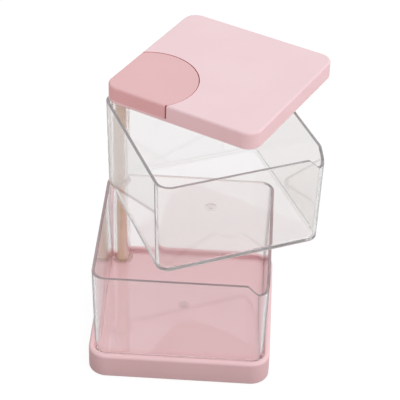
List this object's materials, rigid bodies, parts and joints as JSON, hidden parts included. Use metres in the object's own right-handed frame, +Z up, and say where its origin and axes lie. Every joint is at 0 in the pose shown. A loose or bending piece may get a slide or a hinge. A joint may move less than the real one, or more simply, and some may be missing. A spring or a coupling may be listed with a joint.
{
  "type": "cotton pad and swab holder",
  "caption": "Square clear storage box in two tiers on a pale pink tray; the upper box and the lid swing out sideways about an upright rod in one corner.",
  "frame": {"origin": "centre of the base's underside, on the surface that the holder stands on", "axes": "+X to the right and +Y to the back of the closed holder, whose rod is at the rear left corner; +Z up along the rod"},
  "size_m": [0.1318, 0.176, 0.1419],
  "materials": {
    "pale_pink_plastic": "satin moulded ABS",
    "deep_pink_plastic": "satin moulded ABS, a deeper pink",
    "clear_plastic": "clear moulded polystyrene, polished",
    "champagne_metal": "satin, champagne tone",
    "plated_steel": "zinc plated",
    "natural_nylon": "unpigmented nylon"
  },
  "bodies": {
    "base": {"base_tray": "pale_pink_plastic", "base_plate": "pale_pink_plastic", "pivot_rod": "champagne_metal", "base_screw": "plated_steel", "base_washer": "plated_steel", "lid_screw": "plated_steel", "lid_washer": "plated_steel", "tier_slip_washer": "natural_nylon", "lower_box": "clear_plastic"},
    "upper_tier": {"upper_box": "clear_plastic", "lid_slip_washer": "natural_nylon"},
    "lid": {"lid_shell": "pale_pink_plastic", "lid_liner": "pale_pink_plastic", "corner_cap": "deep_pink_plastic", "disc_spring": "plated_steel"}
  },
  "joints": [
    {"name": "upper_box_swing", "type": "hinge", "parent": "base", "child": "upper_tier", "pos_m": [-0.0414, 0.0414, 0.1], "axis": [0, 0, 1], "range_deg": [-23.85, 156.15]},
    {"name": "lid_swing", "type": "hinge", "parent": "base", "child": "lid", "pos_m": [-0.0414, 0.0414, 0.1365], "axis": [0, 0, 1], "range_deg": [-62.8, 117.2]}
  ]
}
